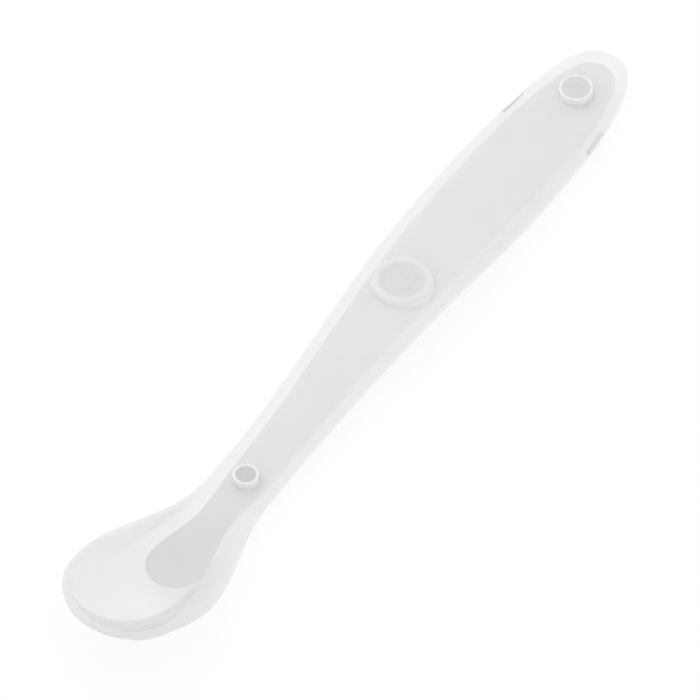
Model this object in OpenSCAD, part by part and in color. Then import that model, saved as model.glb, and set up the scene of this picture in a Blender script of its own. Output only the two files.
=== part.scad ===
// Baby spoon: a stiff core inside a soft silicone body, keyed together by two studs and a disc
// The spoon lies along X, with the bowl's tip at -X and its middle over the origin, on the plane Z = 0

/* [Overall] */
// Length from the bowl's tip to the handle's end
spoon_len = 151; // [130:1:180]
// Width of the bowl at its widest place
bowl_w = 20; // [18:0.2:24]
// Width of the neck
neck_w = 10.7; // [10:0.1:13]
// Width of the grip at its widest place
grip_w = 17.2; // [15:0.2:20]

/* [Places along the spoon] */
// From the bowl's tip back to its widest place
bowl_nose = 12.6; // [11:0.1:16]
// From the bowl's tip back to where its sides have run out into the neck
bowl_len = 42; // [38:0.2:48]
// From the bowl's tip back to its lowest place
bowl_low_at = 25; // [22:0.5:28]
// From the bowl's tip back to where its sides bulge most below the rim
bowl_belly_at = 31; // [28:0.5:36]
// Length of the neck where its width stays the same
neck_len = 5.5; // [4:0.1:9]
// From the handle's end back to the widest place of the grip
grip_back = 34.7; // [28:0.1:40]
// From the bowl's tip to the middle of the neck stud
neck_stud_at = 45.2; // [43:0.2:50]
// From the bowl's tip to the middle of the emblem disc
emblem_at = 90.5; // [80:0.1:96]
// From the handle's end back to the middle of the end stud
end_stud_back = 10.5; // [9:0.5:14]
// From the handle's end back to the middle of the side windows
window_back = 16.8; // [15:0.2:24]

/* [Heights above the table] */
// Height of the rim at the bowl's tip
tip_h = 15; // [13:0.1:17]
// Height of the rim where the bowl is widest
rim_h = 12.8; // [11:0.1:15]
// Height of the bowl's floor over the paddle
floor_h = 3.9; // [3.4:0.1:4.4]
// Height of the top of the neck
neck_h = 4; // [3.8:0.1:5]
// Height of the handle's top at the emblem disc
arch_h = 7.3; // [6.5:0.1:8.5]
// Height of the grip's top at its widest place
grip_h = 6.3; // [5.6:0.1:7.5]
// Height of the handle's top near its end
end_h = 4; // [3.6:0.1:5]
// Height of the neck's underside
neck_lift = 0.5; // [0.3:0.1:1]
// Height of the handle's underside at the emblem disc
arch_lift = 2.6; // [1.5:0.1:3]
// Height of the underside where the bowl is widest
nose_lift = 0.4; // [0.2:0.1:1.4]
// Height that the keel line of the bowl's nose heads for
prow_h = 6.5; // [5:0.1:8]

/* [Silicone] */
// Width of the bowl's rounded rim
rim_w = 1.3; // [1:0.1:1.8]
// Silicone over the core
top_skin = 0.5; // [0.4:0.1:0.7]
// Silicone under the core
under_skin = 1; // [0.8:0.1:1.1]
// Silicone beside the core from the neck to the grip
side_wall = 1.8; // [1.4:0.1:2.4]
// Silicone past the core at the handle's end
end_wall = 2.6; // [2:0.1:4]
// Length of a side window
window_len = 4.8; // [4:0.2:6]
// Height of a side window
window_h = 1; // [0.8:0.1:1.2]

/* [Core] */
// From the bowl's tip back to the rounded end of the paddle
paddle_start = 20.1; // [18:0.1:22]
// From the paddle's rounded end to its widest place
paddle_nose = 5; // [4:0.1:6]
// Width of the paddle
paddle_w = 9.8; // [8:0.1:11]
// Width of the core's throat between the paddle and the neck stud
throat_w = 5.5; // [5:0.1:6]
// Thickness of the paddle
paddle_t = 1.4; // [1:0.1:1.6]

/* [Studs and disc] */
// Diameter of the neck stud
neck_stud_d = 4.2; // [3.8:0.1:4.6]
// Diameter of the end stud
end_stud_d = 5.4; // [4.8:0.1:6]
// Height of the studs above the silicone
stud_h = 1.2; // [0.8:0.1:1.5]
// Depth that a stud reaches into the core
stud_seat = 0.8; // [0.6:0.1:1]
// Diameter of the emblem disc
emblem_d = 10; // [8:0.1:11]
// Height of the emblem disc above the silicone
emblem_h = 0.5; // [0.4:0.1:0.8]
// Depth that the emblem disc reaches into the core
emblem_seat = 0.6; // [0.4:0.1:0.8]

/* [Hidden] */

// Places on the X axis
tip_x = -spoon_len / 2;
end_x = spoon_len / 2;
bowl_x = tip_x + bowl_nose;
low_x = tip_x + bowl_low_at;
belly_x = tip_x + bowl_belly_at;
neck_x0 = tip_x + bowl_len;
neck_x1 = neck_x0 + neck_len;
throat_x = neck_x0 - neck_len;
grip_x = end_x - grip_back;
neck_stud_x = tip_x + neck_stud_at;
emblem_x = tip_x + emblem_at;
end_stud_x = end_x - end_stud_back;
window_x = end_x - window_back;
paddle_x0 = tip_x + paddle_start;
paddle_x1 = paddle_x0 + paddle_nose;
core_end_x = end_x - end_wall;
// The spine's ends, from which the rounded ends fan out
end_hub_x = end_x - grip_w / 2;

// Squareness of the curves: 2 is a plain ellipse
nose_power = 2.2;
end_power = 2.7;
side_power = 2.6;
nose_under_power = 2.1;
bowl_under_power = 6.3;
handle_under_power = 2.6;
tip_dish_power = 1.6;
wide_dish_power = 2.4;
low_dish_power = 2.8;
paddle_power = 2;
core_power = 2.2;

// How far the edge lies above the underside, as a share of the thickness there
neck_edge_share = 0.83;
arch_edge_share = 0.64;
grip_edge_share = 0.62;
end_edge_share = 0.56;
core_edge_share = 0.7;

// Most that the bowl's sides bulge out below the rim, as a share of its width there
belly_share = 0.18;
// Turn of the rim from its outer edge over its top to where the wall goes down
rim_turn = 135;

// Rounded edge, ring and sunk middle of a stud
stud_round = 0.2;
stud_ring_w = 0.5;
stud_sunk = 0.25;
// Small boss in the middle of the neck stud
boss_d = 1.9;
boss_h = 0.12;
// Rounded edge, ring and sunk field of the emblem disc
emblem_round = 0.3;
emblem_ring_w = 0.9;
emblem_sunk = 0.2;
// Relief of the smile and its dots over the field, and their sizes
emblem_relief = 0.35;
smile_r = 2.1;
smile_bar_w = 0.6;
smile_angle = 130;
eye_d = 1.4;
eye_apart = 2.4;
eye_up = 1.3;

// Depth of the flats that the spoon rests on
rest_cut = 0.12;
// Overrun of every cut
over = 1;
// Fineness of the round pieces
round_fn = 48;

function mix(a, b, t) = a + (b - a) * t;
function clamp(t) = min(1, max(0, t));
// Smooth step from 0 to 1
function swing(t) = (1 - cos(180 * clamp(t))) / 2;
// Quarter of a rounded square of side 1, from 1 down to 0
function quarter(t, power) = pow(max(0, 1 - pow(clamp(t), power)), 1 / power);

// Smooth curve through stations of [place, value] that never overshoots them
function secant(pts, i) = (pts[i + 1][1] - pts[i][1]) / (pts[i + 1][0] - pts[i][0]);
function tangent(pts, i) =
    let(last = len(pts) - 1)
    i == 0 || i == last ? 0
    : let(a = secant(pts, i - 1), b = secant(pts, i))
      a * b <= 0 ? 0 : 2 * a * b / (a + b);
function span(pts, x, i = 0) = i >= len(pts) - 2 || x < pts[i + 1][0] ? i : span(pts, x, i + 1);
function curve(pts, x) =
    let(
        i = span(pts, x),
        run = pts[i + 1][0] - pts[i][0],
        t = clamp((x - pts[i][0]) / run),
        a = pts[i][1],
        b = pts[i + 1][1],
        da = tangent(pts, i) * run,
        db = tangent(pts, i + 1) * run
    )
    a + t * (da + t * (3 * (b - a) - 2 * da - db + t * (2 * (a - b) + da + db)));

// Heights of the handle's edge, which is the widest line of its section
neck_edge_h = mix(neck_lift, neck_h, neck_edge_share);
arch_edge_h = mix(arch_lift, arch_h, arch_edge_share);
grip_edge_h = grip_h * grip_edge_share;
end_edge_h = end_h * end_edge_share;

// Half width of the silicone at a place on the axis
function body_y(x) =
    x < bowl_x ? bowl_w / 2 * quarter((bowl_x - x) / bowl_nose, nose_power)
    : x < neck_x0 ? mix(bowl_w, neck_w, swing((x - bowl_x) / (neck_x0 - bowl_x))) / 2
    : x < neck_x1 ? neck_w / 2
    : x < grip_x ? mix(neck_w, grip_w, swing((x - neck_x1) / (grip_x - neck_x1))) / 2
    : grip_w / 2 * quarter((x - grip_x) / grip_back, end_power);

// Height of the silicone's edge: the rim's middle line in the bowl, the widest line in the handle
edge_line = [
    [tip_x, tip_h - rim_w / 2],
    [bowl_x, rim_h - rim_w / 2],
    [neck_x0, neck_edge_h],
    [neck_x1, neck_edge_h],
    [emblem_x, arch_edge_h],
    [grip_x, grip_edge_h],
    [end_hub_x, end_edge_h],
    [end_x, end_edge_h]
];
// Height of the top along the middle: the bowl's floor, then the handle's back
top_line = [
    [bowl_x, floor_h],
    [paddle_x1, floor_h],
    [neck_stud_x, neck_h],
    [emblem_x, arch_h],
    [grip_x, grip_h],
    [end_stud_x, end_h],
    [end_hub_x + rim_w, end_h]
];
// Height of the underside along the middle
under_line = [
    [tip_x, prow_h],
    [bowl_x, nose_lift],
    [low_x, -rest_cut],
    [neck_stud_x, neck_lift],
    [emblem_x, arch_lift],
    [grip_x, -rest_cut],
    [end_stud_x, -rest_cut],
    [end_hub_x + rim_w, -rest_cut]
];
// Squareness of the underside's section
under_power_line = [
    [tip_x, nose_under_power],
    [bowl_x, nose_under_power],
    [paddle_x1, bowl_under_power],
    [neck_x0, handle_under_power]
];
// Squareness of the bowl's hollow
dish_power_line = [
    [tip_x, tip_dish_power],
    [bowl_x, wide_dish_power],
    [low_x, low_dish_power]
];
// Bulge of the bowl's sides between the rim and the underside, as a share of the width
belly_line = [
    [bowl_x, 0],
    [belly_x, belly_share],
    [neck_x1, 0]
];
function under_power(x) = curve(under_power_line, x);
function edge_z(x) = curve(edge_line, x);
function top_z(x) = curve(top_line, x);
function under_z(x) = curve(under_line, x);

// 1 in the bowl, with its rim and dished inside, falling to 0 past the neck stud
function bowl_share(x) = 1 - swing((x - throat_x) / (neck_x1 - throat_x));

// Closed solid from rows of points: the rows run round the outline, between two spines
// spine: which spine station each point of a row belongs to
module lofted(top_spine, rows, under_spine, spine) {
    count = len(rows[0]);
    stations = len(top_spine);
    points = concat(top_spine, [for (row = rows) each row], under_spine);
    function at(row, i) = stations + row * count + i % count;
    function low(i) = stations + len(rows) * count + spine[i % count];
    function high(i) = spine[i % count];
    last = len(rows) - 1;
    faces = concat(
        [for (i = [0 : count - 1]) [high(i), at(0, i + 1), at(0, i)]],
        [for (i = [0 : count - 1])
            if (high(i) != high(i + 1)) [high(i), high(i + 1), at(0, i + 1)]],
        [for (r = [0 : last - 1], i = [0 : count - 1]) [at(r, i), at(r, i + 1), at(r + 1, i)]],
        [for (r = [0 : last - 1], i = [0 : count - 1]) [at(r, i + 1), at(r + 1, i + 1), at(r + 1, i)]],
        [for (i = [0 : count - 1]) [low(i), at(last, i), at(last, i + 1)]],
        [for (i = [0 : count - 1])
            if (low(i) != low(i + 1)) [low(i), at(last, i + 1), low(i + 1)]]
    );
    polyhedron(points, faces, convexity = 6);
}

// Spine stations and the outline's stations
nose_steps = 12;
straight_steps = 54;
tail_steps = 10;
function even(a, b, steps) = [for (i = [0 : steps]) mix(a, b, i / steps)];

// Outline loop: [x, side, spine station], from the tip along the near side to the end and back
function loop(tip, hub0, hub1, end, n0, n1, n2) =
    let(
        near = concat(
            [for (i = [0 : n0 - 1]) [hub0 + (tip - hub0) * cos(90 * i / n0), -1, 0]],
            [for (i = [0 : n1]) [mix(hub0, hub1, i / n1), -1, i]],
            [for (i = [1 : n2]) [hub1 + (end - hub1) * sin(90 * i / n2), -1, n1]]
        ),
        last = len(near) - 1
    )
    concat(near, [for (i = [last - 1 : -1 : 1]) [near[i][0], 1, near[i][2]]]);

body_loop = loop(tip_x, bowl_x, end_hub_x, end_x, nose_steps, straight_steps, tail_steps);
body_spine = even(bowl_x, end_hub_x, straight_steps);

rim_steps = 6;
dish_steps = 10;
under_steps = 10;
top_steps = rim_steps + dish_steps;

// One row of a rounded section: its place across and its rise, as shares, at an angle from the edge
function arc_row(a, power) = [pow(cos(a), 2 / power), pow(sin(a), 2 / power)];

// One point over the top of the silicone: p is the outline's station, j the row counted from the edge
function top_point(p, j) =
    let(
        sx = body_spine[p[2]],
        ex = p[0],
        ey = p[1] * body_y(ex),
        reach = norm([ex - sx, ey]),
        ez = edge_z(ex),
        tz = top_z(sx),
        back = arc_row(90 * j / top_steps, side_power),
        rim_a = rim_turn * min(1, j / rim_steps),
        rim_r = 1 - rim_w / 2 * (1 - cos(rim_a)) / reach,
        rim_z = ez + rim_w / 2 * sin(rim_a),
        dish = arc_row(90 * max(0, j - rim_steps) / dish_steps, curve(dish_power_line, ex)),
        dish_r = rim_r * dish[0],
        dish_z = mix(rim_z, tz, dish[1]),
        b = bowl_share(ex),
        r = mix(back[0], dish_r, b),
        z = mix(mix(ez, tz, back[1]), dish_z, b)
    )
    [mix(sx, ex, r), ey * r, z];

// One point of the silicone's underside
function under_point(p, j) =
    let(
        sx = body_spine[p[2]],
        ex = p[0],
        ey = p[1] * body_y(ex),
        angle = 90 * j / under_steps,
        row = arc_row(angle, under_power(ex)),
        r = row[0] * (1 + curve(belly_line, ex) * sin(2 * angle)),
        x = mix(sx, ex, r)
    )
    [x, ey * r, mix(edge_z(ex), under_z(x), row[1])];

module body_form() {
    lofted(
        [for (x = body_spine) [x, 0, top_z(x)]],
        concat(
            [for (j = [top_steps - 1 : -1 : 0]) [for (p = body_loop) top_point(p, j)]],
            [for (j = [1 : under_steps - 1]) [for (p = body_loop) under_point(p, j)]]
        ),
        [for (x = body_spine) [x, 0, under_z(x)]],
        [for (p = body_loop) p[2]]
    );
}

// The core: its half width, then the heights of its top, edge and underside along the middle
core_hub0_x = paddle_x1;
core_hub1_x = end_hub_x;
core_grip_w = grip_w - 2 * side_wall;
core_width = [
    [paddle_x1, paddle_w / 2],
    [throat_x, throat_w / 2],
    [neck_x1, neck_w / 2 - side_wall]
];
function core_y(x) =
    x < paddle_x1 ? paddle_w / 2 * quarter((paddle_x1 - x) / paddle_nose, paddle_power)
    : x < neck_x1 ? curve(core_width, x)
    : x < grip_x ? body_y(x) - side_wall
    : core_grip_w / 2 * quarter((x - grip_x) / (core_end_x - grip_x), end_power);

function core_top_z(x) = top_z(x) - top_skin;
function core_under_z(x) =
    mix(core_top_z(x) - paddle_t, under_z(x) + under_skin, swing((x - throat_x) / (neck_x1 - throat_x)));
function core_edge_z(x) = mix(core_under_z(x), core_top_z(x), core_edge_share);

core_straight_steps = 44;
core_nose_steps = 8;
core_tail_steps = 9;
core_steps = 5;
core_loop = loop(paddle_x0, core_hub0_x, core_hub1_x, core_end_x, core_nose_steps, core_straight_steps,
    core_tail_steps);
core_spine = even(core_hub0_x, core_hub1_x, core_straight_steps);

// One point of the core, at an angle from its edge, on its top or its underside
function core_point(p, angle, top) =
    let(
        sx = core_spine[p[2]],
        ex = p[0],
        ey = p[1] * core_y(ex),
        row = arc_row(angle, core_power),
        middle = top ? core_top_z(sx) : core_under_z(sx)
    )
    [mix(sx, ex, row[0]), ey * row[0], mix(core_edge_z(sx), middle, row[1])];
function core_row(angle, top) = [for (p = core_loop) core_point(p, angle, top)];

module core_form() {
    lofted(
        [for (x = core_spine) [x, 0, core_top_z(x)]],
        concat(
            [for (j = [core_steps - 1 : -1 : 0]) core_row(90 * j / core_steps, true)],
            [for (j = [1 : core_steps - 1]) core_row(90 * j / core_steps, false)]
        ),
        [for (x = core_spine) [x, 0, core_under_z(x)]],
        [for (p = core_loop) p[2]]
    );
}

// Upright bore for a round piece of diameter d, from a depth below the core's top up through the skin
module bore(x, d, depth) {
    floor_z = core_top_z(x) - depth;
    translate([x, 0, floor_z])
        cylinder(d = d, h = top_z(x) + over - floor_z, $fn = round_fn);
}

module seats() {
    bore(neck_stud_x, neck_stud_d, stud_seat);
    bore(end_stud_x, end_stud_d, stud_seat);
    bore(emblem_x, emblem_d, emblem_seat);
}

// Long hole with round ends across the handle, from the core's side out
module side_windows() {
    inner_y = core_y(window_x) - side_wall;
    depth = body_y(window_x) + over - inner_y;
    for (side = [-1, 1])
        translate([window_x, side * (inner_y + depth / 2), core_edge_z(window_x)])
            union() {
                cube([window_len - window_h, depth, window_h], center = true);
                for (tip = [-1, 1])
                    translate([tip * (window_len - window_h) / 2, 0, 0])
                        rotate([90, 0, 0])
                            cylinder(d = window_h, h = depth, center = true, $fn = round_fn);
            }
}

// Flat ground under the bowl and under the grip
module table_cut() {
    translate([tip_x - over, -bowl_w, -bowl_w])
        cube([spoon_len + 2 * over, 2 * bowl_w, bowl_w]);
}

// Soft milky silicone: bowl, neck and sleeve in one piece, hollow where the core lies
module silicone_body() {
    color([0.93, 0.94, 0.94, 0.6])
    difference() {
        body_form();
        core_form();
        seats();
        side_windows();
        table_cut();
    }
}

// Stiff white core: grip plate, neck and paddle, with a seat for each round piece
module rigid_core() {
    color("white")
    difference() {
        core_form();
        seats();
    }
}

// Round piece turned from a side profile: rounded top edge, raised ring and a sunk middle
module turned(r, height, ring_w, sunk, round_r) {
    arc_steps = 6;
    inner_r = r - ring_w;
    rotate_extrude($fn = round_fn)
        polygon(concat(
            [[0, 0], [r, 0]],
            [for (i = [0 : arc_steps])
                let(a = 90 * i / arc_steps)
                [r - round_r + round_r * cos(a), height - round_r + round_r * sin(a)]],
            [for (i = [0 : arc_steps])
                let(a = 90 * i / arc_steps)
                [inner_r + sunk * (1 - sin(a)), height - sunk * (1 - cos(a))]],
            [[0, height - sunk]]
        ));
}

// Stud through the top skin, seated in the core
module stud(x, d) {
    seat_z = core_top_z(x) - stud_seat;
    translate([x, 0, seat_z])
        turned(d / 2, top_z(x) + stud_h - seat_z, stud_ring_w, stud_sunk, stud_round);
}

module neck_stud() {
    field_z = top_z(neck_stud_x) + stud_h - stud_sunk;
    color("gainsboro")
    union() {
        stud(neck_stud_x, neck_stud_d);
        translate([neck_stud_x, 0, field_z - stud_sunk])
            cylinder(d = boss_d, h = stud_sunk + boss_h, $fn = round_fn);
    }
}

module end_stud() {
    color("gainsboro") stud(end_stud_x, end_stud_d);
}

// Domed dot: a quarter of an ellipse turned round
module dot(r, rise) {
    dot_steps = 6;
    rotate_extrude($fn = round_fn)
        polygon(concat(
            [[0, -emblem_sunk], [r, -emblem_sunk]],
            [for (i = [0 : dot_steps])
                let(a = 90 * i / dot_steps)
                [r * cos(a), rise * sin(a)]]
        ));
}

// Curved bar with a round back
module smile() {
    bar_steps = 8;
    rotate([0, 0, 180 - smile_angle / 2])
        rotate_extrude(angle = smile_angle, $fn = round_fn)
            polygon(concat(
                [[smile_r + smile_bar_w / 2, -emblem_sunk]],
                [for (i = [0 : bar_steps])
                    let(a = 180 * i / bar_steps)
                    [smile_r + smile_bar_w / 2 * cos(a), emblem_relief * sin(a)]],
                [[smile_r - smile_bar_w / 2, -emblem_sunk]]
            ));
}

// Low disc with a raised ring round a sunk field that bears a plain smile, upright towards the handle's end
module emblem_disc() {
    seat_z = core_top_z(emblem_x) - emblem_seat;
    field_z = arch_h + emblem_h - emblem_sunk;
    color("whitesmoke")
    union() {
        translate([emblem_x, 0, seat_z])
            turned(emblem_d / 2, arch_h + emblem_h - seat_z, emblem_ring_w, emblem_sunk, emblem_round);
        translate([emblem_x, 0, field_z]) {
            smile();
            for (side = [-1, 1])
                translate([eye_up, side * eye_apart / 2, 0])
                    dot(eye_d / 2, emblem_relief);
        }
    }
}

silicone_body();
rigid_core();
neck_stud();
emblem_disc();
end_stud();
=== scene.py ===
"""Baby spoon: the finish of the silicone, the core, the studs and the emblem disc, with a plain stage."""
import math

import bmesh
import bpy
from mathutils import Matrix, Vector


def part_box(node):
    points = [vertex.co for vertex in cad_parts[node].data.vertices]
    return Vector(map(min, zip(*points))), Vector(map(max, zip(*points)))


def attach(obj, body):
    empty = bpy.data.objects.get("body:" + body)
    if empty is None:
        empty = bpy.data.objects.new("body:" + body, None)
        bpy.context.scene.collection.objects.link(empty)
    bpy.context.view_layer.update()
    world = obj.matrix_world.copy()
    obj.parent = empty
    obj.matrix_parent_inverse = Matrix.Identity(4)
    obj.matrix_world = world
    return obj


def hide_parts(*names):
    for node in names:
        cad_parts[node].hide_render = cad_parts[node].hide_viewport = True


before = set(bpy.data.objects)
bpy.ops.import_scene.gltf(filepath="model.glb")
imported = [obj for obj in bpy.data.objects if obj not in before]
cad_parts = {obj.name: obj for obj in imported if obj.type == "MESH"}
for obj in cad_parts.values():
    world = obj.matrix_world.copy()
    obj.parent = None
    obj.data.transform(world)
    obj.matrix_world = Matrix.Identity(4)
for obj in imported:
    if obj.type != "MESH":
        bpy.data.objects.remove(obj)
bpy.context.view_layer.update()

bl_info = {
    "name": "Baby spoon",
    "version": (1, 0, 0),
    "blender": (4, 5, 0),
    "location": "View3D > Sidebar > Spoon",
    "description": "Models and finishes the pieces of a silicone baby spoon round its packed solids",
    "category": "Object",
}

MM = 0.001
BODY = "root"

# Two points nearer than this are one point, and an edge this near a height lies at it
NEAR = 0.001 * MM
# The upright part of a face's direction: over the first it counts as a top, under the second as a flank
TOP_FACE = 0.9
FLANK_FACE = 0.1

# Where the bowl's outer wall is eased: x, distance to the side, height, outward push and reach
EASED_PLACES = (
    (-60.5 * MM, 7.9 * MM, 3.2 * MM, 0.4 * MM, 4.5 * MM),
    (-66.0 * MM, 6.9 * MM, 4.8 * MM, -0.25 * MM, 4.0 * MM),
)
# The most fold and skew at which two of a loft's triangles become a quad, and the corners that stay sharp
QUAD_FOLD = math.radians(40)
QUAD_SKEW = math.radians(100)
SHARP_CORNER = math.radians(35)
# Subdivision of the lofts, and the share of the body's triangles that stays, to keep it under 200,000
LOFT_LEVELS = 2
BODY_KEPT = 0.92
# Edges over these angles are shaded as corners, on the lofts and on the studs and the disc
LOFT_SHADING = math.radians(40)
PLUG_SHADING = math.radians(35)

# How far the side windows turn in towards the handle's end, and the slack in telling their faces from the
# skin round them: in the solid's holes, and in the slots along X, Y and Z
WINDOW_TURN = math.radians(5)
HOLE_SLACK = 0.03 * MM
SLOT_SLACK = (0.06 * MM, 0.3 * MM, 0.003 * MM)

# Where the painted shade and painted light start and are full: along X for the bowl's painted shade and the
# handle's painted light, and by height for the painted shade on the bowl's rim
BOWL_PAINTED_SHADE = (-28 * MM, -42 * MM)
HANDLE_PAINTED_LIGHT = (-20 * MM, 0)
RIM_PAINTED_SHADE = (10.6 * MM, 12.0 * MM)

# The smile's arc, seen from above, the flatness of its eyes, and how the end stud's cross is turned
SMILE_START = math.radians(245)
SMILE_SWEEP = math.radians(130)
EYE_FLATNESS = 0.4
CROSS_TURN = math.radians(33)


def colour_prop(name, description, default):
    """A colour that a user can change."""
    return bpy.props.FloatVectorProperty(
        name=name, description=description, subtype="COLOR", size=3, min=0, max=1, default=default)


def length_prop(name, description, default):
    """A length in metres that a user can change."""
    return bpy.props.FloatProperty(
        name=name, description=description, unit="LENGTH", subtype="DISTANCE", precision=5, default=default)


class SPOON_PG_sizes(bpy.types.PropertyGroup):
    """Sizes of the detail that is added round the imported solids"""
    bond: length_prop("Bond", "How far a hard piece's skin reaches into the silicone round it", 0.03 * MM)
    stud_ring: length_prop("Stud ring", "Width of the raised ring round a stud's top", 0.36 * MM)
    stud_slope: length_prop("Stud slope", "Width of the slope inside a stud's ring", 0.16 * MM)
    stud_sunk: length_prop("Stud field depth", "Depth of the sunk field inside a stud's ring", 0.14 * MM)
    stud_round: length_prop("Stud edge", "Rounding of a stud's top edge", 0.16 * MM)
    gate_radius: length_prop("Gate radius", "Radius of the gate mark on the neck stud", 0.7 * MM)
    gate_rise: length_prop("Gate rise", "Height of the gate mark on the neck stud", 0.26 * MM)
    cross_length: length_prop("Cross length", "Length of each groove in the end stud's cross", 2.1 * MM)
    cross_width: length_prop("Cross width", "Width of each groove in the end stud's cross", 0.42 * MM)
    cross_depth: length_prop("Cross depth", "Depth of the end stud's cross", 0.1 * MM)
    window_at: length_prop(
        "Window place", "From the spoon's middle to the middle of the side windows", 58.7 * MM)
    window_height: length_prop("Window height", "Height of the middle of the side windows", 2.94 * MM)
    window_length: length_prop("Window length", "Length of a side window", 4.8 * MM)
    window_width: length_prop("Window width", "Width of a side window in the solid", 1.0 * MM)
    window_slot: length_prop("Window slot", "Width of the shallow slot that shows as a window", 0.7 * MM)
    window_floor: length_prop(
        "Window floor", "From the spoon's middle plane to the floor of a side window", 7.6 * MM)
    window_mouth: length_prop(
        "Window mouth", "From the middle plane to outside a side window's opening", 9.0 * MM)
    emblem_ring: length_prop("Emblem ring", "Width of the emblem disc's raised ring", 0.92 * MM)
    emblem_slope: length_prop("Emblem slope", "Width of the slope inside the emblem's ring", 0.7 * MM)
    emblem_sunk: length_prop("Emblem field depth", "Depth of the field inside the emblem's ring", 0.16 * MM)
    emblem_round: length_prop("Emblem edge", "Rounding of the emblem disc's outer edge", 0.82 * MM)
    smile_radius: length_prop("Smile radius", "Radius of the smile's arc", 2.1 * MM)
    smile_bar: length_prop("Smile bar", "Radius of the smile's bar", 0.3 * MM)
    eye_radius: length_prop("Eye radius", "Radius of each eye dot", 0.7 * MM)
    eye_apart: length_prop("Eye spacing", "Distance between the middles of the eyes", 2.4 * MM)
    eye_up: length_prop("Eye height", "Distance of the eyes from the disc's middle", 1.3 * MM)


class SPOON_PG_colours(bpy.types.PropertyGroup):
    """Colours of the spoon and its stage"""
    silicone: colour_prop("Silicone", "Colour of the milky silicone", (0.95, 0.95, 0.95))
    # Painted shade: a greyer tone on the bowl's rim, underside and outer wall, for the shade on them
    silicone_painted_shade: colour_prop(
        "Silicone, under", "Colour of the bowl's rim, underside and outer wall", (0.83, 0.83, 0.83))
    # Painted light: a paler tone on the handle's sides and underside
    silicone_painted_light: colour_prop(
        "Silicone, side", "Colour of the handle's sides and underside", (0.985, 0.985, 0.985))
    # Painted shade: the darker tone inside a side window stands for the shade in the slot
    window: colour_prop("Window", "Colour inside a side window", (0.88, 0.88, 0.88))
    silicone_deep: colour_prop("Silicone, deep", "What thick silicone lets through", (0.75, 0.75, 0.75))
    core: colour_prop("Core", "Colour of the stiff white plastic", (0.75, 0.75, 0.75))
    # Painted light: the core's flanks are paler than its top, to offset the shade deep under the silicone
    core_flank_painted_light: colour_prop(
        "Core flank", "Colour of the core's flanks, deep under the silicone", (0.93, 0.93, 0.93))
    # Painted light: paler sides on the studs and the disc, to offset the shade on them
    flank: colour_prop("Flank", "Colour of the sides of the studs and the disc", (0.98, 0.98, 0.98))
    # Painted shade: the studs' sunk fields are darker, for the shade in them
    neck_field_painted_shade: colour_prop("Neck stud field", "Colour of the neck stud's field", (0.62, 0.62, 0.62))
    end_field_painted_shade: colour_prop("End stud field", "Colour of the end stud's field", (0.72, 0.72, 0.72))
    # Painted highlight: the lighter ring round a stud's top
    stud_ring: colour_prop("Stud ring", "Colour of a stud's ring", (0.9, 0.9, 0.9))
    emblem: colour_prop("Emblem", "Colour of the emblem disc's field", (0.74, 0.74, 0.74))
    # Painted highlight: the lighter ring of the emblem disc
    emblem_ring: colour_prop("Emblem ring", "Colour of the emblem disc's ring", (0.82, 0.82, 0.82))
    floor: colour_prop("Floor", "Colour of the floor", (0.93, 0.93, 0.93))


def sizes():
    return bpy.context.scene.spoon_sizes


def colours():
    return bpy.context.scene.spoon_colours


# Selection and edit mode

def select_only(ob):
    """Leaves edit mode and makes ob the one selected and active object."""
    if bpy.context.object and bpy.context.object.mode != "OBJECT":
        bpy.ops.object.mode_set(mode="OBJECT")
    bpy.ops.object.select_all(action="DESELECT")
    ob.select_set(True)
    bpy.context.view_layer.objects.active = ob


def edit(ob):
    """Puts ob alone in edit mode with nothing selected."""
    select_only(ob)
    bpy.ops.object.mode_set(mode="EDIT")
    bpy.ops.mesh.select_mode(type="FACE")
    bpy.ops.mesh.select_all(action="DESELECT")


def leave_edit():
    bpy.ops.object.mode_set(mode="OBJECT")


def pick_faces(ob, wanted):
    """Selects the faces of ob in edit mode for which wanted(face) is true."""
    mesh = bmesh.from_edit_mesh(ob.data)
    for face in mesh.faces:
        face.select_set(wanted(face))
    mesh.select_flush_mode()
    bmesh.update_edit_mesh(ob.data)


def pick_edges(ob, wanted):
    """Selects the edges of ob in edit mode for which wanted(edge) is true."""
    bpy.ops.mesh.select_mode(type="EDGE")
    mesh = bmesh.from_edit_mesh(ob.data)
    for part in (*mesh.faces, *mesh.edges, *mesh.verts):
        part.select_set(False)
    for edge in mesh.edges:
        edge.select_set(wanted(edge))
    mesh.select_flush_mode()
    bmesh.update_edit_mesh(ob.data)


def settle(ob):
    """Puts ob's place into its mesh, so that its object sits at the origin."""
    select_only(ob)
    bpy.ops.object.transform_apply(location=True, rotation=True, scale=True)


def copy_of_node(node, name):
    """A merged copy of a CAD node's mesh as a new piece."""
    select_only(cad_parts[node])
    bpy.ops.object.duplicate(linked=False)
    ob = bpy.context.object
    ob.name = name
    ob.data.name = name
    edit(ob)
    bpy.ops.mesh.select_all(action="SELECT")
    bpy.ops.mesh.remove_doubles(threshold=NEAR)
    leave_edit()
    return ob


def smooth_out(ob):
    """Turns a loft's triangles back into quads and subdivides them, with the sharp corners kept."""
    edit(ob)
    bpy.ops.mesh.select_all(action="SELECT")
    bpy.ops.mesh.tris_convert_to_quads(face_threshold=QUAD_FOLD, shape_threshold=QUAD_SKEW)
    bpy.ops.mesh.select_mode(type="EDGE")
    bpy.ops.mesh.select_all(action="DESELECT")
    bpy.ops.mesh.edges_select_sharp(sharpness=SHARP_CORNER)
    bpy.ops.transform.edge_crease(value=1)
    leave_edit()
    rounding = ob.modifiers.new("rounding", "SUBSURF")
    rounding.levels = LOFT_LEVELS
    rounding.render_levels = LOFT_LEVELS
    bpy.ops.object.modifier_apply(modifier=rounding.name)


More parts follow.
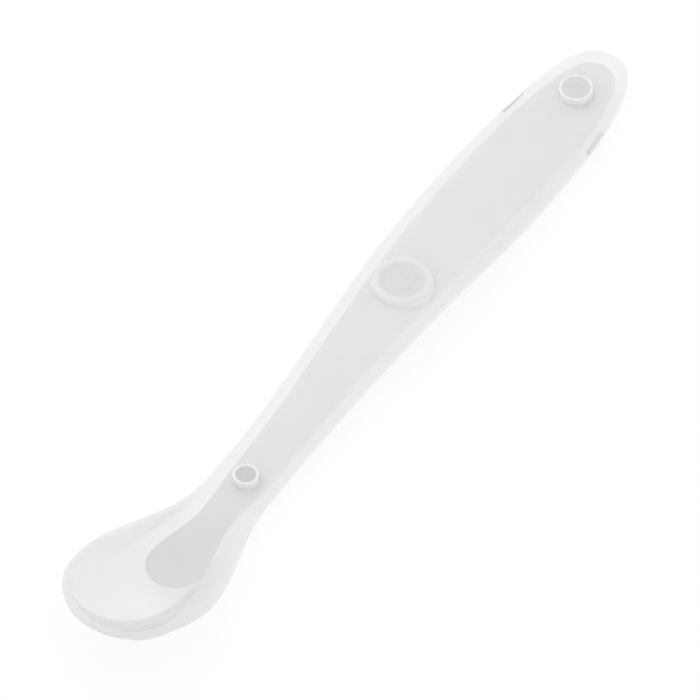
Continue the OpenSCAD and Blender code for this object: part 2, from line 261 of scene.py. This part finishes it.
def join_by_boolean(ob, other, how):
    """Fuses other into ob, or cuts it out, and deletes other."""
    select_only(ob)
    change = ob.modifiers.new("change", "BOOLEAN")
    change.operation = how
    change.solver = "EXACT"
    change.object = other
    bpy.ops.object.modifier_apply(modifier=change.name)
    bpy.data.objects.remove(other)


def cut_box(ob, place, size, turn):
    """Cuts a box out of ob. The box is turned about its own upright axis."""
    bpy.ops.object.select_all(action="DESELECT")
    bpy.ops.mesh.primitive_cube_add(size=1, location=place)
    cutter = bpy.context.object
    cutter.scale = size
    cutter.rotation_euler.z = turn
    settle(cutter)
    join_by_boolean(ob, cutter, "DIFFERENCE")


def add_dome(ob, place, radius, flatness, segments):
    """Fuses a flattened ball into ob, so that a low dome stands on ob at place."""
    bpy.ops.object.select_all(action="DESELECT")
    bpy.ops.mesh.primitive_uv_sphere_add(
        segments=segments, ring_count=segments // 2, radius=radius, location=place)
    ball = bpy.context.object
    bpy.ops.transform.resize(value=(1, 1, flatness), center_override=ball.location)
    settle(ball)
    join_by_boolean(ob, ball, "UNION")


def finish_piece(ob, material, slot, *nodes):
    """Gives ob its material and its body, and hides the CAD nodes that it stands for. slot is not used."""
    ob.data.materials.clear()
    ob.data.materials.append(material)
    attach(ob, BODY)
    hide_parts(*nodes)


# Materials

def new_material(name):
    """A material with a Principled shader. Returns it, its node tree and the shader."""
    material = bpy.data.materials.new(name)
    material.use_nodes = True
    tree = material.node_tree
    return material, tree, tree.nodes["Principled BSDF"]


def noise(tree, scale, detail=3.0, roughness=0.5, distortion=0.0):
    """The grey output of a noise in the piece's own coordinates, with scale in features per metre."""
    place = tree.nodes.new("ShaderNodeTexCoord")
    texture = tree.nodes.new("ShaderNodeTexNoise")
    texture.inputs["Scale"].default_value = scale
    texture.inputs["Detail"].default_value = detail
    texture.inputs["Roughness"].default_value = roughness
    texture.inputs["Distortion"].default_value = distortion
    tree.links.new(place.outputs["Object"], texture.inputs["Vector"])
    return texture.outputs["Fac"]


def spread(tree, value, low, high, start=0.3, end=0.7):
    """Maps a grey value from start..end to low..high."""
    node = tree.nodes.new("ShaderNodeMapRange")
    node.inputs["From Min"].default_value = start
    node.inputs["From Max"].default_value = end
    node.inputs["To Min"].default_value = low
    node.inputs["To Max"].default_value = high
    tree.links.new(value, node.inputs["Value"])
    return node.outputs["Result"]


def tint(tree, factor, dark, light):
    """A colour between dark and light by a grey factor."""
    node = tree.nodes.new("ShaderNodeMix")
    node.data_type = "RGBA"
    node.inputs["A"].default_value = (*dark, 1)
    node.inputs["B"].default_value = (*light, 1)
    tree.links.new(factor, node.inputs["Factor"])
    return node.outputs["Result"]


def mix_colours(tree, factor, first, second):
    """Mixes two colour outputs by a grey output."""
    node = tree.nodes.new("ShaderNodeMix")
    node.data_type = "RGBA"
    tree.links.new(factor, node.inputs["Factor"])
    tree.links.new(first, node.inputs["A"])
    tree.links.new(second, node.inputs["B"])
    return node.outputs["Result"]


def bump(tree, height, distance, after=None):
    """A bump of so many metres by a grey output, on top of another bump."""
    node = tree.nodes.new("ShaderNodeBump")
    node.inputs["Distance"].default_value = distance
    tree.links.new(height, node.inputs["Height"])
    if after is not None:
        tree.links.new(after, node.inputs["Normal"])
    return node.outputs["Normal"]


def shade(colour, by):
    """A colour times a number, up to white."""
    return tuple(min(1.0, c * by) for c in colour)


def facing(tree):
    """1 where the surface faces up, 0 on a flank and -1 where it faces down."""
    geometry = tree.nodes.new("ShaderNodeNewGeometry")
    split = tree.nodes.new("ShaderNodeSeparateXYZ")
    tree.links.new(geometry.outputs["Normal"], split.inputs["Vector"])
    return split.outputs["Z"]


def upward(tree):
    """1 on a surface that faces up or down, 0 on a flank."""
    return arithmetic(tree, "ABSOLUTE", facing(tree))


def axis_share(tree, axis, start, end):
    """0 at start and 1 at end along an axis of the piece's own coordinates."""
    place = tree.nodes.new("ShaderNodeTexCoord")
    split = tree.nodes.new("ShaderNodeSeparateXYZ")
    tree.links.new(place.outputs["Object"], split.inputs["Vector"])
    return spread(tree, split.outputs[axis], 0, 1, start=start, end=end)


def arithmetic(tree, operation, first, second=None):
    """The grey output of a Math node on one or two others."""
    node = tree.nodes.new("ShaderNodeMath")
    node.operation = operation
    tree.links.new(first, node.inputs[0])
    if second is not None:
        tree.links.new(second, node.inputs[1])
    return node.outputs[0]


def silicone_material(name, base):
    """Milky silicone: satin and cloudy, with painted shade under and round the bowl and on its rim, and
    painted light on the handle's sides.
    """
    material, tree, skin = new_material(name)
    c = colours()
    under = shade(base, c.silicone_painted_shade[0] / c.silicone[0])
    side = shade(base, c.silicone_painted_light[0] / c.silicone[0])
    cloud = spread(tree, noise(tree, 70, detail=4, distortion=0.6), 0, 1)
    cloudy_base = tint(tree, cloud, shade(base, 0.99), base)
    cloudy_painted_light = tint(tree, cloud, shade(side, 0.99), side)
    cloudy_painted_shade = tint(tree, cloud, shade(under, 0.98), under)
    up = facing(tree)
    # Painted shade: greyer where the bowl faces down or sideways, and on the top of its rim
    outside = spread(tree, up, 1, 0, start=-0.35, end=0.15)
    painted_shade_below = arithmetic(tree, "MULTIPLY", outside, axis_share(tree, "X", *BOWL_PAINTED_SHADE))
    brim = spread(tree, up, 0, 0.6, start=0.1, end=0.6)
    rim = arithmetic(tree, "MULTIPLY", brim, axis_share(tree, "Z", *RIM_PAINTED_SHADE))
    # Painted light: paler on the handle's flanks
    flank = spread(tree, up, 1, 0, start=0.2, end=0.7)
    painted_light_beside = arithmetic(tree, "MULTIPLY", flank, axis_share(tree, "X", *HANDLE_PAINTED_LIGHT))
    colour = mix_colours(tree, painted_light_beside, cloudy_base, cloudy_painted_light)
    colour = mix_colours(tree, arithmetic(tree, "MAXIMUM", painted_shade_below, rim), colour, cloudy_painted_shade)
    tree.links.new(colour, skin.inputs["Base Color"])
    skin.inputs["Transmission Weight"].default_value = 0.76
    skin.inputs["IOR"].default_value = 1.005
    skin.inputs["Coat Weight"].default_value = 0.2
    skin.inputs["Coat Roughness"].default_value = 0.22
    skin.inputs["Coat IOR"].default_value = 1.41
    rough = spread(tree, noise(tree, 260, detail=5), 0.07, 0.13)
    tree.links.new(rough, skin.inputs["Roughness"])
    wave = bump(tree, noise(tree, 220, detail=2), 0.02 * MM)
    peel = bump(tree, noise(tree, 2600, detail=3), 0.003 * MM, after=wave)
    tree.links.new(peel, skin.inputs["Normal"])
    inside = tree.nodes.new("ShaderNodeVolumeAbsorption")
    inside.inputs["Color"].default_value = (*c.silicone_deep, 1)
    inside.inputs["Density"].default_value = 20
    tree.links.new(inside.outputs["Volume"], tree.nodes["Material Output"].inputs["Volume"])
    return material


def ring_share(tree, middle, inner, outer):
    """0 within the radius inner round an upright axis and 1 beyond the radius outer."""
    place = tree.nodes.new("ShaderNodeTexCoord")
    value = place.outputs["Object"]
    for operation, vector in (("SUBTRACT", middle), ("MULTIPLY", (1, 1, 0))):
        node = tree.nodes.new("ShaderNodeVectorMath")
        node.operation = operation
        node.inputs[1].default_value = vector
        tree.links.new(value, node.inputs[0])
        value = node.outputs["Vector"]
    length = tree.nodes.new("ShaderNodeVectorMath")
    length.operation = "LENGTH"
    tree.links.new(value, length.inputs[0])
    return spread(tree, length.outputs["Value"], 0, 1, start=inner, end=outer)


def plastic_material(name, base, flank, rough_low, rough_high, grain=3200, ring=None, ring_place=None):
    """Moulded plastic with a fine eggshell grain and slight flow marks, and a paler colour on its flanks as
    painted light.
    ring is a lighter colour beyond a circle as a painted highlight, and ring_place its middle and where the
    colour starts and is full."""
    material, tree, skin = new_material(name)
    flow = spread(tree, noise(tree, 120, detail=3, distortion=1.2), 0, 1)
    colour = tint(tree, flow, shade(base, 0.975), base)
    # Painted highlight: the ring's lighter colour beyond a circle
    if ring:
        raised = tint(tree, flow, shade(ring, 0.985), ring)
        colour = mix_colours(tree, ring_share(tree, *ring_place), colour, raised)
    # Painted light: the flank colour on faces that turn sideways
    side = spread(tree, upward(tree), 1, 0, start=0.25, end=0.95)
    colour = mix_colours(tree, side, colour, tint(tree, flow, shade(flank, 0.985), flank))
    tree.links.new(colour, skin.inputs["Base Color"])
    tree.links.new(spread(tree, noise(tree, 500, detail=4), rough_low, rough_high), skin.inputs["Roughness"])
    skin.inputs["IOR"].default_value = 1.5
    tree.links.new(bump(tree, noise(tree, grain, detail=2), 0.004 * MM), skin.inputs["Normal"])
    return material


# Pieces

def ease(ob, places):
    """Pushes the surface out or in a little round some places, on both sides, to even its outline."""
    edit(ob)
    bpy.ops.mesh.select_mode(type="VERT")
    for x, y, z, push, reach in places:
        for side in (-1, 1):
            bpy.ops.mesh.select_all(action="DESELECT")
            mesh = bmesh.from_edit_mesh(ob.data)
            place = Vector((x, side * y, z))
            min(mesh.verts, key=lambda v: (v.co - place).length).select_set(True)
            mesh.select_flush_mode()
            bmesh.update_edit_mesh(ob.data)
            bpy.ops.transform.shrink_fatten(
                value=push, use_proportional_edit=True, proportional_edit_falloff="SMOOTH",
                proportional_size=reach, use_proportional_connected=True)
    leave_edit()


def close_windows(ob):
    """Takes out the walls of the side windows and closes the skins over them, before the smoothing."""
    s = sizes()
    edit(ob)
    pick_faces(ob, lambda f: all(
        abs(v.co.x - s.window_at) < s.window_length / 2 + HOLE_SLACK
        and abs(v.co.z - s.window_height) < s.window_width / 2 + HOLE_SLACK for v in f.verts))
    bpy.ops.mesh.delete(type="FACE")
    bpy.ops.mesh.select_all(action="SELECT")
    bpy.ops.mesh.fill_holes(sides=0)
    bpy.ops.mesh.select_all(action="SELECT")
    bpy.ops.mesh.normals_make_consistent(inside=False)
    leave_edit()


def cut_windows(ob):
    """Cuts the side windows as shallow slots that don't reach the core."""
    s = sizes()
    across = (s.window_floor + s.window_mouth) / 2
    size = (s.window_length, s.window_mouth - s.window_floor, s.window_slot)
    for side in (-1, 1):
        cut_box(ob, (s.window_at, side * across, s.window_height), size, -side * WINDOW_TURN)


def in_window(face):
    """True for a face on a side window's walls or floor."""
    s = sizes()
    place = face.calc_center_median()
    return (abs(place.x - s.window_at) < s.window_length / 2 + SLOT_SLACK[0]
            and abs(place.y) > s.window_floor - SLOT_SLACK[1]
            and abs(place.z - s.window_height) < s.window_slot / 2 + SLOT_SLACK[2])


def paint_windows(ob, material):
    """Gives the walls and floors of the side windows their own material, darker as painted shade in the
    slots.
    """
    ob.data.materials.append(material)
    edit(ob)
    pick_faces(ob, in_window)
    ob.active_material_index = 1
    bpy.ops.object.material_slot_assign()
    leave_edit()


class SPOON_OT_silicone_body(bpy.types.Operator):
    """Silicone bowl, neck and sleeve, smoothed, in milky silicone"""
    bl_idname = "spoon.silicone_body"
    bl_label = "Silicone body"

    def execute(self, context):
        c = colours()
        ob = copy_of_node("silicone_body", "milky_body")
        ease(ob, EASED_PLACES)
        close_windows(ob)
        smooth_out(ob)
        thinning = ob.modifiers.new("thinning", "DECIMATE")
        thinning.ratio = BODY_KEPT
        bpy.ops.object.modifier_apply(modifier=thinning.name)
        cut_windows(ob)
        bpy.ops.object.shade_smooth_by_angle(angle=LOFT_SHADING)
        material = silicone_material("milky_silicone", tuple(c.silicone))
        finish_piece(ob, material, "milky_silicone", "silicone_body")
        # The side windows get a darker silicone, painted shade in the slots
        paint_windows(ob, silicone_material("window_painted_shade", tuple(c.window)))
        return {"FINISHED"}


class SPOON_OT_core(bpy.types.Operator):
    """Stiff white core, its skin bonded to the silicone"""
    bl_idname = "spoon.core"
    bl_label = "Core"

    def execute(self, context):
        ob = copy_of_node("rigid_core", "white_core")
        edit(ob)
        bpy.ops.mesh.select_all(action="SELECT")
        bpy.ops.transform.shrink_fatten(value=sizes().bond)
        leave_edit()
        smooth_out(ob)
        bpy.ops.object.shade_smooth_by_angle(angle=LOFT_SHADING)
        c = colours()
        # The core's paler flanks are painted light
        material = plastic_material("white_plastic", tuple(c.core), tuple(c.core_flank_painted_light), 0.5, 0.62)
        finish_piece(ob, material, "white_plastic", "rigid_core")
        return {"FINISHED"}


def round_blank(node, name, vertices=96):
    """A round bar as tall as a CAD node and wider by the bond. Returns it and the node's box."""
    low, high = (Vector(corner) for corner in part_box(node))
    middle = (low + high) / 2
    bpy.ops.object.select_all(action="DESELECT")
    bpy.ops.mesh.primitive_cylinder_add(
        vertices=vertices, radius=(high.x - low.x) / 2 + sizes().bond, depth=high.z - low.z, location=middle)
    ob = bpy.context.object
    ob.name = name
    ob.data.name = name
    settle(ob)
    return ob, low, high


def cup_top(ob, top, ring, slope, sunk, edge):
    """Slopes the top face down to a round field inside a ring, and rounds the ring's outer edge."""
    edit(ob)
    pick_faces(ob, lambda f: f.normal.z > TOP_FACE)
    bpy.ops.mesh.inset(thickness=ring)
    bpy.ops.mesh.inset(thickness=slope, depth=-sunk)
    pick_edges(ob, lambda e: all(abs(v.co.z - top) < NEAR for v in e.verts)
               and min(abs(f.normal.z) for f in e.link_faces) < FLANK_FACE)
    bpy.ops.mesh.bevel(offset=edge, segments=6, affect="EDGES")
    leave_edit()


class SPOON_OT_studs(bpy.types.Operator):
    """The two round studs: a ring round a sunk field, with a gate mark or a plain cross"""
    bl_idname = "spoon.studs"
    bl_label = "Studs"

    def execute(self, context):
        s = sizes()
        c = colours()
        # The darker stud fields are painted shade
        pegs = (("neck_stud", "neck_peg", c.neck_field_painted_shade), ("end_stud", "end_peg", c.end_field_painted_shade))
        for node, name, tone in pegs:
            ob, low, high = round_blank(node, name)
            cup_top(ob, high.z, s.stud_ring, s.stud_slope, s.stud_sunk, s.stud_round)
            middle = (low + high) / 2
            inner = (high.x - low.x) / 2 - s.stud_ring - s.stud_slope
            field = (middle.x, middle.y, high.z - s.stud_sunk)
            if node == "neck_stud":
                add_dome(ob, field, s.gate_radius, s.gate_rise / s.gate_radius, segments=48)
            else:
                groove = (s.cross_length, s.cross_width, 2 * s.cross_depth)
                for turn in (CROSS_TURN, CROSS_TURN + math.radians(90)):
                    cut_box(ob, field, groove, turn)
            select_only(ob)
            bpy.ops.object.shade_smooth_by_angle(angle=PLUG_SHADING)
            material = plastic_material(
                name + "_plastic", tuple(tone), tuple(c.flank), 0.14, 0.24, grain=1800,
                ring=tuple(c.stud_ring), ring_place=(middle, inner, inner + s.stud_slope))
            finish_piece(ob, material, "clear_plastic", node)
        return {"FINISHED"}


class SPOON_OT_emblem(bpy.types.Operator):
    """The emblem disc: a raised ring round a field with a plain smile"""
    bl_idname = "spoon.emblem"
    bl_label = "Emblem disc"

    def execute(self, context):
        s = sizes()
        c = colours()
        ob, low, high = round_blank("emblem_disc", "smile_disc", vertices=128)
        cup_top(ob, high.z, s.emblem_ring, s.emblem_slope, s.emblem_sunk, s.emblem_round)
        middle = (low + high) / 2
        inner = (high.x - low.x) / 2 - s.emblem_ring - s.emblem_slope
        field = high.z - s.emblem_sunk
        for side in (-1, 1):
            eye = (middle.x + s.eye_up, middle.y + side * s.eye_apart / 2, field)
            add_dome(ob, eye, s.eye_radius, EYE_FLATNESS, segments=32)
        bpy.ops.object.select_all(action="DESELECT")
        corner = (middle.x + s.smile_radius * math.cos(SMILE_START),
                  middle.y + s.smile_radius * math.sin(SMILE_START), field)
        bpy.ops.mesh.primitive_circle_add(
            vertices=16, radius=s.smile_bar, fill_type="NGON", location=corner,
            rotation=(math.pi / 2, 0, SMILE_START))
        bar = bpy.context.object
        settle(bar)
        edit(bar)
        bpy.ops.mesh.select_all(action="SELECT")
        bpy.ops.mesh.spin(steps=24, angle=SMILE_SWEEP, center=(middle.x, middle.y, field), axis=(0, 0, 1))
        bpy.ops.mesh.select_all(action="SELECT")
        bpy.ops.mesh.normals_make_consistent(inside=False)
        leave_edit()
        join_by_boolean(ob, bar, "UNION")
        select_only(ob)
        bpy.ops.object.shade_smooth_by_angle(angle=PLUG_SHADING)
        material = plastic_material(
            "emblem_plastic", tuple(c.emblem), tuple(c.flank), 0.3, 0.42,
            ring=tuple(c.emblem_ring), ring_place=(middle, inner, inner + s.emblem_slope))
        finish_piece(ob, material, "satin_plastic", "emblem_disc")
        return {"FINISHED"}


# Stage: camera, floor, world and lamps

# The camera's direction round and above the spoon, how far off it is, and the width that it sees
AZIMUTH = math.radians(303.2)
ELEVATION = math.radians(50)
CAMERA_DISTANCE = 1.2
FRAME_WIDTH = 110.6 * MM
# The height at the emblem disc that the camera aims at, and the aim's shift right and up in the picture
AIM_HEIGHT = 7.8 * MM
IMAGE_SHIFT = (-8.34 * MM, -11.14 * MM)

# The floor's side in metres, the glow of its pale tone and that glow's share, and the world's light on things
FLOOR_SIZE = 6
FLOOR_GLOW = 1.03
GLOW_SHARE = 0.8
WORLD_LIGHT = 0.76


def camera_axes():
    """Right, up and backward directions of the camera."""
    back = Vector((math.sin(AZIMUTH) * math.cos(ELEVATION), -math.cos(AZIMUTH) * math.cos(ELEVATION),
                   math.sin(ELEVATION)))
    right = Vector((math.cos(AZIMUTH), math.sin(AZIMUTH), 0))
    return right, back.cross(right), back


def add_camera():
    """A camera without perspective that sees what the photograph shows."""
    right, up, back = camera_axes()
    low, high = (Vector(corner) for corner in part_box("emblem_disc"))
    aim = Vector(((low.x + high.x) / 2, 0, AIM_HEIGHT)) + right * IMAGE_SHIFT[0] + up * IMAGE_SHIFT[1]
    data = bpy.data.cameras.new("camera")
    data.type = "ORTHO"
    data.ortho_scale = FRAME_WIDTH
    data.clip_end = 10
    camera = bpy.data.objects.new("camera", data)
    bpy.context.collection.objects.link(camera)
    camera.location = aim + back * CAMERA_DISTANCE
    camera.rotation_euler = back.to_track_quat("Z", "Y").to_euler()
    bpy.context.scene.camera = camera


def seen_factor(tree):
    """1 for a ray from the camera, a mirror or clear material, and 0 for the light that falls on things."""
    path = tree.nodes.new("ShaderNodeLightPath")
    seen = path.outputs["Is Camera Ray"]
    for ray in ("Is Glossy Ray", "Is Transmission Ray"):
        seen = arithmetic(tree, "MAXIMUM", seen, path.outputs[ray])
    return seen


def add_floor():
    """A pale matte floor that glows to the camera and keeps the spoon's shadow."""
    bpy.ops.object.select_all(action="DESELECT")
    bpy.ops.mesh.primitive_plane_add(size=FLOOR_SIZE, location=(0, 0, 0))
    floor = bpy.context.object
    floor.name = "floor"
    material, tree, skin = new_material("floor")
    skin.inputs["Base Color"].default_value = (*colours().floor, 1)
    skin.inputs["Roughness"].default_value = 0.9
    skin.inputs["Specular IOR Level"].default_value = 0
    glow = tree.nodes.new("ShaderNodeEmission")
    glow.inputs["Color"].default_value = (1, 1, 1, 1)
    glow.inputs["Strength"].default_value = FLOOR_GLOW
    mixer = tree.nodes.new("ShaderNodeMixShader")
    share = spread(tree, seen_factor(tree), 0, GLOW_SHARE, start=0, end=1)
    tree.links.new(share, mixer.inputs["Fac"])
    tree.links.new(skin.outputs["BSDF"], mixer.inputs[1])
    tree.links.new(glow.outputs["Emission"], mixer.inputs[2])
    tree.links.new(mixer.outputs[0], tree.nodes["Material Output"].inputs["Surface"])
    floor.data.materials.append(material)


def add_world():
    """A white world, dimmer as light on things than as a background."""
    world = bpy.data.worlds.new("world")
    bpy.context.scene.world = world
    world.use_nodes = True
    tree = world.node_tree
    background = tree.nodes["Background"]
    background.inputs["Color"].default_value = (1, 1, 1, 1)
    strength = spread(tree, seen_factor(tree), WORLD_LIGHT, 1, start=0, end=1)
    tree.links.new(strength, background.inputs["Strength"])


def add_softbox(name, direction, distance, size, power):
    """A square area lamp that looks at the origin."""
    data = bpy.data.lights.new(name, "AREA")
    data.shape = "SQUARE"
    data.size = size
    data.energy = power
    lamp = bpy.data.objects.new(name, data)
    bpy.context.collection.objects.link(lamp)
    towards = Vector(direction).normalized()
    lamp.location = towards * distance
    lamp.rotation_euler = towards.to_track_quat("Z", "Y").to_euler()


class SPOON_OT_stage(bpy.types.Operator):
    """Camera, plain pale floor, world and soft studio lamps"""
    bl_idname = "spoon.stage"
    bl_label = "Stage"

    def execute(self, context):
        add_camera()
        add_floor()
        add_world()
        right, _, back = camera_axes()
        behind = Vector((-back.x, -back.y, 0))
        over_and_behind = behind * 0.9 - right * 0.5 + Vector((0, 0, 1.2))
        add_softbox("key", over_and_behind, distance=0.9, size=0.5, power=0.9)
        add_softbox("top", (0, 0, 1), distance=1, size=1.2, power=1.8)
        context.scene.view_settings.view_transform = "Standard"
        return {"FINISHED"}


class SPOON_PT_panel(bpy.types.Panel):
    """Lists the spoon's pieces, sizes and colours"""
    bl_label = "Baby spoon"
    bl_idname = "SPOON_PT_panel"
    bl_space_type = "VIEW_3D"
    bl_region_type = "UI"
    bl_category = "Spoon"

    def draw(self, context):
        for operator in OPERATORS:
            self.layout.operator(operator.bl_idname)
        for group in (context.scene.spoon_sizes, context.scene.spoon_colours):
            for name in group.__annotations__:
                self.layout.prop(group, name)


OPERATORS = (SPOON_OT_silicone_body, SPOON_OT_core, SPOON_OT_studs, SPOON_OT_emblem, SPOON_OT_stage)
CLASSES = (SPOON_PG_sizes, SPOON_PG_colours, *OPERATORS, SPOON_PT_panel)


def register():
    for cls in CLASSES:
        bpy.utils.register_class(cls)
    bpy.types.Scene.spoon_sizes = bpy.props.PointerProperty(type=SPOON_PG_sizes)
    bpy.types.Scene.spoon_colours = bpy.props.PointerProperty(type=SPOON_PG_colours)


def unregister():
    del bpy.types.Scene.spoon_colours
    del bpy.types.Scene.spoon_sizes
    for cls in reversed(CLASSES):
        bpy.utils.unregister_class(cls)


def main():
    register()
    bpy.ops.spoon.silicone_body()
    bpy.ops.spoon.core()
    bpy.ops.spoon.studs()
    bpy.ops.spoon.emblem()
    bpy.ops.spoon.stage()


if __name__ == "__main__":
    main()
